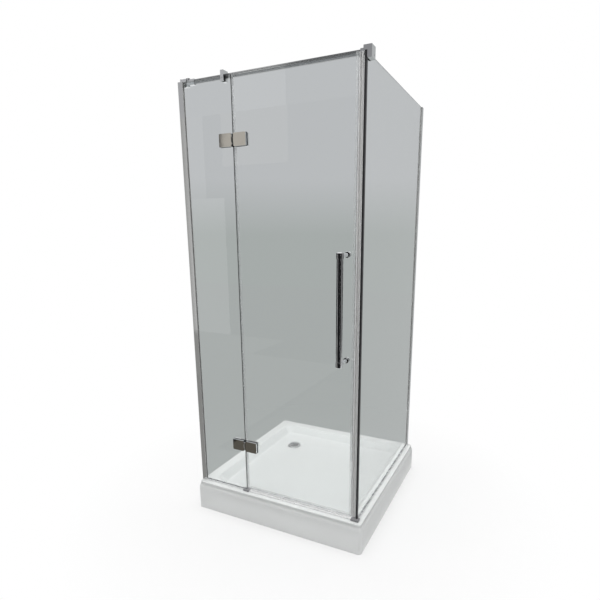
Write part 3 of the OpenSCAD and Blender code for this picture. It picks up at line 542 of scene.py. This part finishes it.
aluminium = base_material("polished aluminium", Metallic=1.0)
streaks = noise(aluminium, 0.0009, 2.0, (1, 1, 160))
feed(aluminium, "Base Color", blend_colours(aluminium, streaks, (0.66, 0.665, 0.67), (0.74, 0.745, 0.75)))
feed(aluminium, "Roughness", spread(aluminium, noise(aluminium, 0.0015, 2.0, (1, 1, 60)), 0.04, 0.08))
relief(aluminium, streaks, 0.00001, 0.2)

grey_rubber = base_material("grey rubber", Base_Color=(0.48, 0.48, 0.47))
feed(grey_rubber, "Roughness", spread(grey_rubber, noise(grey_rubber, 0.006, 3.0, (1, 1, 20)), 0.5, 0.7))

for place in ("front", "rear"):
    eased(f"{place}_channel_extrusion", f"{place}_wall_channel", aluminium, 0.0004)
    eased(f"{place}_glazing_strips", f"{place}_glass_gaskets", grey_rubber, 0.0004)
eased("channel_top_caps", "channel_caps", chrome, 0.0006)


# Sills and threshold
# Low aluminium channels on the rim hold the two fixed panes, which stand on nylon blocks.
# The threshold strip under the door ends in grey moulded blocks at the hinge gap and at the corner.

sill_metal = base_material("polished sill aluminium", Metallic=1.0)
sill_streaks = noise(sill_metal, 0.002, 2.0, (12, 12, 1))
sill_greys = (0.8, 0.805, 0.81), (0.88, 0.885, 0.89)
feed(sill_metal, "Base Color", blend_colours(sill_metal, sill_streaks, *sill_greys))
feed(sill_metal, "Roughness", spread(sill_metal, sill_streaks, 0.24, 0.3))

for place in ("front", "side"):
    eased(f"{place}_sill_channel", f"{place}_sill", sill_metal, 0.0003)
eased("nylon_setting_blocks", "setting_blocks", grey_plastic, 0.0004)
eased("door_threshold", "threshold_strip", sill_metal, 0.0006)
eased("threshold_moulded_ends", "threshold_end_blocks", grey_plastic, 0.0008)


# Glass
# Three panes of 8 mm clear toughened glass, two fixed and one door, with polished edges.
# The notches for the hinges and the holes for the handle are cut before the glass is toughened.


def see_through(material, share, shade):
    """Lets this share of the rays straight through the surface"""
    tree = material.node_tree
    clear = wire(material, "BsdfTransparent", Color=(*shade, 1))
    mixed = wire(material, "MixShader", Fac=share)
    tree.links.new(tree.nodes["Principled BSDF"].outputs[0], mixed.inputs[1])
    tree.links.new(clear.outputs[0], mixed.inputs[2])
    tree.links.new(mixed.outputs[0], tree.nodes["Material Output"].inputs["Surface"])


def glass_material(name, tint, shade):
    """Clear glass, through which the lamp lights what stands behind it"""
    material = base_material(name, Base_Color=tint, Transmission_Weight=1.0, IOR=1.5)
    feed(material, "Roughness", spread(material, noise(material, 0.12, 2.0), 0.0, 0.012))
    see_through(material, wire(material, "LightPath").outputs["Is Shadow Ray"], shade)
    return material


glass = glass_material("clear toughened glass", (0.9, 0.915, 0.912), (0.95, 0.955, 0.95))
glass_edge = glass_material("polished glass edge", (0.16, 0.2, 0.19), (0.6, 0.65, 0.63))

panes = (("fixed_front_pane", "fixed_glass", 1), ("fixed_side_pane", "side_glass", 0),
         ("door_pane", "door_glass", 1))
square_on = 0.9
for name, node, thin in panes:
    pane = as_mesh(merged(node), name)
    pane.materials.append(glass)
    pane.materials.append(glass_edge)
    for face in pane.polygons:
        broad = abs(face.normal[thin]) > square_on
        in_seal = node == "door_glass" and face.normal.x > square_on
        in_sill = face.normal.z < -square_on
        face.material_index = 0 if broad or in_seal or in_sill else 1
    ease_edges(finished(name, pane, glass, node), 0.0007)


# Seals
# Clear soft profiles clip on the door's edges, and the side pane's is extruded with a dark grip.
# The two that meet at the corner hold strips of pale magnetic rubber, which keep the door shut.

clear_seal = base_material("clear soft plastic", Base_Color=(0.8, 0.81, 0.82))
feed(clear_seal, "Roughness", spread(clear_seal, noise(clear_seal, 0.004, 2.0, (1, 1, 20)), 0.15, 0.3))
see_through(clear_seal, 0.9, (0.98, 0.98, 0.98))

grip_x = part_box("side_glass")[0].x + 0.0012
grip_blur = 0.0003
two_tone = base_material("clear and dark soft plastic")
across = wire(two_tone, "SeparateXYZ", Vector=wire(two_tone, "TexCoord").outputs["Object"]).outputs["X"]
grip = wire(two_tone, "MapRange", Value=across, From_Min=grip_x - grip_blur, From_Max=grip_x + grip_blur)
in_grip = grip.outputs[0]
paint = wire(two_tone, "MixRGB", Fac=in_grip, Color1=(0.8, 0.81, 0.82, 1), Color2=(0.03, 0.03, 0.032, 1))
feed(two_tone, "Base Color", paint.outputs[0])
feed(two_tone, "Roughness", spread(two_tone, noise(two_tone, 0.004, 2.0, (1, 1, 20)), 0.2, 0.4))
clear_share = wire(two_tone, "MapRange", Value=in_grip, To_Min=0.9, To_Max=0.0).outputs[0]
see_through(two_tone, clear_share, (0.98, 0.98, 0.98))

magnet = base_material("pale magnetic rubber", Base_Color=(0.78, 0.78, 0.77))
feed(magnet, "Roughness", spread(magnet, noise(magnet, 0.003), 0.4, 0.6))
relief(magnet, noise(magnet, 0.0006), 0.0001, 0.3)

eased("side_pane_magnet_profile", "side_magnet_seal", two_tone, 0.0002)
eased("side_magnet_strip", "side_magnet", magnet, 0.0003)
eased("door_magnet_profile", "door_magnet_seal", clear_seal, 0.0002)
eased("door_magnet_strip", "door_magnet", magnet, 0.0003)
eased("door_hinge_profile", "door_hinge_seal", clear_seal, 0.0002)
eased("door_drip_profile", "door_drip_seal", clear_seal, 0.0002)


# Hinges
# Chromed brass plates clamp both panes through notches, on black rubber sheets.
# The inner plates are drawn up by socket screws, and the door's barrel turns on a steel pin.

steel = base_material("turned stainless steel", Base_Color=(0.58, 0.58, 0.58), Metallic=1.0)
feed(steel, "Roughness", spread(steel, noise(steel, 0.0012, 3.0), 0.2, 0.34))
relief(steel, noise(steel, 0.0007), 0.00005, 0.3)

for height in ("upper", "lower"):
    eased(f"{height}_hinge_fixed_plate", f"{height}_hinge_fixed_leaf", chrome, 0.0007, 3)
    eased(f"{height}_hinge_door_plate", f"{height}_hinge_door_leaf", chrome, 0.0007, 3)
eased("hinge_steel_pins", "hinge_pins", steel, 0.0004)
for side in ("fixed", "door"):
    eased(f"hinge_{side}_inner_plates", f"hinge_{side}_clamps", chrome, 0.0006, 3)
    eased(f"hinge_{side}_rubber_sheets", f"hinge_{side}_gaskets", rubber, 0.0002)

sizes = {"Head": 0.0044, "Head Depth": 0.0026, "Socket": 0.0023, "Shank": 0.0025, "Shank Length": 0.011}
socket_up = (0, 0, 0.0011)
shank_down = (0, 0, -(sizes["Head Depth"] + sizes["Shank Length"]) / 2)
hinge_middles = (0.396, 1.806)
screw_off_middle = 0.01
for side in ("fixed", "door"):
    tree, size = shape_tree(f"socket screw {side}", **sizes)
    depth = size["Head Depth"]
    head = step(tree, "GeometryNodeMeshCylinder", Vertices=40, Radius=size["Head"], Depth=depth)
    socket = step(tree, "GeometryNodeMeshCylinder", Vertices=6, Radius=size["Socket"], Depth=depth)
    raised = step(tree, "GeometryNodeTransform", Geometry=socket.outputs[0], Translation=socket_up)
    cut = step(tree, "GeometryNodeMeshBoolean")
    cut.operation = "DIFFERENCE"
    tree.links.new(head.outputs[0], cut.inputs["Mesh 1"])
    tree.links.new(raised.outputs[0], cut.inputs["Mesh 2"])
    shank = step(tree, "GeometryNodeMeshCylinder", Vertices=24, Radius=size["Shank"],
                 Depth=size["Shank Length"])
    below = step(tree, "GeometryNodeTransform", Geometry=shank.outputs[0], Translation=shank_down)
    screw = step(tree, "GeometryNodeJoinGeometry")
    for part in (cut, below):
        tree.links.new(part.outputs[0], screw.inputs[0])
    laid = step(tree, "GeometryNodeTransform", Geometry=screw.outputs[0],
                Rotation=(math.radians(-90), 0, 0))
    screws = step(tree, "GeometryNodeInstanceOnPoints", Points=size["Geometry"], Instance=laid.outputs[0])
    low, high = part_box(f"hinge_{side}_screws")
    head_y = high.y - sizes["Head Depth"] / 2
    places = [((low.x + high.x) / 2, head_y, middle + off)
              for middle in hinge_middles for off in (-screw_off_middle, screw_off_middle)]
    mesh = grown(f"hinge_{side}_socket_screws", tree, screws.outputs[0], steel, places, sizes)
    finished(f"hinge_{side}_socket_screws", mesh, steel, f"hinge_{side}_screws")


# Handle
# A chromed brass tube between two turned knuckles, bolted through the door at two stems.
# Round plates and nylon sleeves keep the metal off the glass, and caps cover the bolts inside.

nylon = base_material("clear nylon", Base_Color=(0.85, 0.85, 0.83), Transmission_Weight=0.4)
feed(nylon, "Roughness", spread(nylon, noise(nylon, 0.003), 0.25, 0.4))

eased("handle_tube", "handle_bar", chrome, 0.0004)
eased("handle_knuckles_and_stems", "handle_posts", chrome, 0.0009, 3)
eased("handle_round_plates", "handle_rosettes", chrome, 0.0007, 3)
eased("handle_nylon_sleeves", "handle_glass_bushes", nylon, 0.0002)
eased("handle_steel_bolts", "handle_bolts", steel, 0.0004)
eased("handle_bolt_caps", "handle_inner_caps", chrome, 0.0012, 3)


# Stabiliser bar
# A flat satin chromed tube behind the front glass ties the tops of the panes together; its chrome is
# given a darker colour than real chrome, a painted dark reflection.
# It swivels on a bracket at the left, passes through a clip over the fixed pane and ends in a clamp
# on the side pane.

# Base colour darker than chrome's: a painted dark reflection, so the bar seen through glass shows dark
# grey.
satin = base_material("satin chrome", Base_Color=(0.4, 0.405, 0.41), Metallic=1.0)
brushed = noise(satin, 0.0008, 2.0, (150, 1, 1))
feed(satin, "Roughness", spread(satin, brushed, 0.12, 0.2))
relief(satin, brushed, 0.00002, 0.3)

eased("flat_bar_tube", "stabiliser_bar", satin, 0.0008, 3)
eased("swivel_wall_bracket", "bar_wall_bracket", chrome, 0.0008, 3)
eased("swivel_socket", "bar_socket", chrome, 0.0008, 3)
eased("glass_clip", "bar_glass_clip", chrome, 0.001, 3)
eased("corner_clamp", "bar_corner_clamp", chrome, 0.001, 3)
eased("clamp_rubber_pads", "bar_clamp_pads", rubber, 0.0003)
eased("pivot_and_grub_screws", "bar_screws", steel, 0.0004)


# Stage
# A plain white floor that keeps a faint shadow and has painted shade near the object, a white surround
# and one soft lamp from above.
# Dark, grey and white cards show only in reflections, as a studio sets them up for chrome and glass.
# Through glass the floor and the surround are painted a pale grey shade, and the lamp shows in no
# reflection.


def studio_card(name, corners, grey):
    """A flat card that shows only in reflections"""
    mesh = bpy.data.meshes.new(name)
    mesh.from_pydata(corners, [], [(0, 1, 2, 3)])
    card = bpy.data.objects.new(name, mesh)
    bpy.context.scene.collection.objects.link(card)
    material = bpy.data.materials.new(name)
    material.use_nodes = True
    glow = wire(material, "Emission", Color=(*grey, 1), Strength=1.0)
    surface = material.node_tree.nodes["Material Output"].inputs["Surface"]
    material.node_tree.links.new(glow.outputs[0], surface)
    mesh.materials.append(material)
    card.visible_camera = False
    card.visible_diffuse = False
    card.visible_transmission = False
    card.visible_shadow = False


def upright_card(name, start, end, low, high, grey):
    """A standing card from one place on the floor plan to another"""
    (x0, y0), (x1, y1) = start, end
    studio_card(name, [(x0, y0, low), (x1, y1, low), (x1, y1, high), (x0, y0, high)], grey)


black = (0.012, 0.012, 0.013)
front_y = -4
card_high = 2.95
for name, x0, x1, low, high, grey in (
        ("front_card", -1.9, 3.4, 0, card_high, black),
        ("front_card_high", -1.92, 3.4, card_high, 4.8, (0.3, 0.3, 0.31)),
        ("front_card_low", -2.9, -1.9, 0, 2.3, black),
        ("warm_card", -2.9, -1.9, 2.3, card_high, (0.5, 0.465, 0.41)),
        ("left_card_high", -6, -2.7, card_high, 4.8, (0.5, 0.5, 0.51)),
        ("left_card", -3.9, -3.535, 0, card_high, (0.42, 0.42, 0.41)),
        ("left_card_pale", -3.535, -3.45, 0, card_high, (0.6, 0.6, 0.59)),
        ("left_card_pale_high", -3.45, -3.2, 1.9, card_high, (0.6, 0.6, 0.59)),
        ("pane_card", -3.45, -2.9, 0, 1.9, (1.0, 1.0, 1.0)),
        ("left_card_near", -3.2, -2.9, 1.9, card_high, black),
        ("left_card_far", -6, -3.9, 0, card_high, black)):
    upright_card(name, (x0, front_y), (x1, front_y), low, high, grey)
upright_card("far_left_card", (-4.5, 4.0), (-4.5, -3.9), 0, 4.8, black)
upright_card("right_card", (3.4, -3.9), (3.4, -1.2), 0, 4.8, black)
upright_card("right_card_mid", (3.4, -1.2), (3.4, 1.0), 0, 4.8, (0.24, 0.24, 0.24))
upright_card("right_card_behind", (3.4, 1.0), (3.4, 3.9), 0, 4.8, black)
upright_card("rear_right_card", (3.3, 4), (0.8, 4), 0, 5.0, (0.5, 0.51, 0.51))
upright_card("rear_left_card", (-1.2, 4), (-3.4, 4), 0.8, 3.4, (0.42, 0.42, 0.42))

for name, x0, x1, y0, y1, z, grey in (
        ("front_mat", -3.2, 3.3, -4.0, -0.6, 0.002, black),
        ("far_left_mat", -4.5, -3.2, -3.9, 1.5, 0.002, black),
        ("warm_mat", -0.75, 0.2, -2.6, -1.0, 0.004, (0.11, 0.1, 0.082)),
        ("rear_right_mat", 0.47, 3.3, -0.4, 4.0, 0.002, (0.5, 0.51, 0.51)),
        ("left_mat", -2.0, -0.8, -3.2, -0.6, 0.004, (0.32, 0.32, 0.31)),
        ("left_mat_far", -3.75, -2.0, -4.0, -2.2, 0.004, (0.34, 0.34, 0.33)),
        ("left_mat_near", -1.1, -0.45, -0.98, -0.5, 0.006, (0.32, 0.32, 0.31))):
    studio_card(name, [(x0, y0, z), (x1, y0, z), (x1, y1, z), (x0, y1, z)], grey)


def looks(tree):
    """Which rays look at the stage, and which of them came through glass"""
    rays = step(tree, "ShaderNodeLightPath").outputs
    straight = maths(tree, "MAXIMUM", rays["Is Camera Ray"], rays["Is Glossy Ray"])
    through_glass = rays["Is Transmission Ray"]
    return maths(tree, "MAXIMUM", straight, through_glass), through_glass


white_floor = base_material("white floor", Roughness=0.9)
tree = white_floor.node_tree
looking, through_glass = looks(tree)
# Seen through glass the floor is painted a pale grey, both where it is lit and where it glows: a painted
# shade behind the panes.
paint = wire(white_floor, "MixRGB", Fac=through_glass, Color1=(0.86, 0.86, 0.86, 1),
             Color2=(0.46, 0.48, 0.475, 1))
feed(white_floor, "Base Color", paint.outputs[0])
white_or_shade_through_glass = wire(white_floor, "MixRGB", Fac=through_glass, Color1=(1, 1, 1, 1), Color2=(0.44, 0.46, 0.455, 1))
glow = wire(white_floor, "Emission", Color=white_or_shade_through_glass.outputs[0], Strength=1.0)
distance = wire(white_floor, "VectorMath", Vector=wire(white_floor, "TexCoord").outputs["Object"])
distance.operation = "LENGTH"
# Near the object less of the floor glows white and more is lit: the real shadow shows faintly there, and
# the floor also comes out darker than further off, a painted shade round the object.
glow_share_with_near_shade = wire(white_floor, "MapRange", Value=distance.outputs["Value"], From_Min=0.5, From_Max=1.3,
            To_Min=0.62, To_Max=1.0)
mixed = wire(white_floor, "MixShader", Fac=maths(tree, "MULTIPLY", looking, glow_share_with_near_shade.outputs[0]))
tree.links.new(tree.nodes["Principled BSDF"].outputs[0], mixed.inputs[1])
tree.links.new(glow.outputs[0], mixed.inputs[2])
tree.links.new(mixed.outputs[0], tree.nodes["Material Output"].inputs["Surface"])

floor_reach = 9
floor_corners = [(x * floor_reach, y * floor_reach, 0) for x, y in ((-1, -1), (1, -1), (1, 1), (-1, 1))]
floor_mesh = bpy.data.meshes.new("floor")
floor_mesh.from_pydata(floor_corners, [], [(0, 1, 2, 3)])
floor_mesh.materials.append(white_floor)
floor = bpy.data.objects.new("floor", floor_mesh)
bpy.context.scene.collection.objects.link(floor)
floor.location.z = -0.0005

world = bpy.data.worlds.new("white surround")
bpy.context.scene.world = world
world.use_nodes = True
tree = world.node_tree
looking, through_glass = looks(tree)
level = step(tree, "ShaderNodeMapRange", Value=looking, To_Min=0.42, To_Max=1.0)
direction = step(tree, "ShaderNodeTexCoord").outputs["Generated"]
up = step(tree, "ShaderNodeSeparateXYZ", Vector=direction).outputs["Z"]
rise = step(tree, "ShaderNodeMapRange", Value=up, From_Min=0.0, From_Max=0.11)
# Seen through glass the surround is painted a pale grey shade, darker towards the horizon.
shade_beyond_glass = step(tree, "ShaderNodeValToRGB", Fac=rise.outputs[0])
for element, colour in zip(shade_beyond_glass.color_ramp.elements, ((0.44, 0.465, 0.457), (0.555, 0.565, 0.58))):
    element.color = (*colour, 1)
white_or_shade_through_glass = step(tree, "ShaderNodeMixRGB", Fac=through_glass, Color1=(1, 1, 1, 1),
            Color2=shade_beyond_glass.outputs["Color"])
sky = tree.nodes["Background"]
tree.links.new(white_or_shade_through_glass.outputs[0], sky.inputs["Color"])
tree.links.new(level.outputs[0], sky.inputs["Strength"])

lamp_data = bpy.data.lights.new("lamp_above", "AREA")
lamp_data.shape = "SQUARE"
lamp_data.size = 3.2
lamp_data.energy = 120
lamp = bpy.data.objects.new("lamp_above", lamp_data)
bpy.context.scene.collection.objects.link(lamp)
lamp_place = Vector((0.0, -0.2, 3.9))
lamp_target = Vector((0, 0, 0))
lamp.location = lamp_place
lamp.rotation_euler = (lamp_target - lamp_place).to_track_quat("-Z", "Y").to_euler()
lamp.visible_camera = False
lamp.visible_glossy = False

camera_data = bpy.data.cameras.new("camera")
camera_data.sensor_width = 36
camera_data.lens = 27.48
camera_data.shift_x = -0.034
camera_data.shift_y = 0.0696
camera = bpy.data.objects.new("camera", camera_data)
bpy.context.scene.collection.objects.link(camera)
camera.location = (1.0594, -2.1541, 1.4130)
camera.rotation_euler = (math.radians(76.853), 0, math.radians(25.349))
bpy.context.scene.camera = camera
bpy.context.scene.view_settings.view_transform = "Standard"
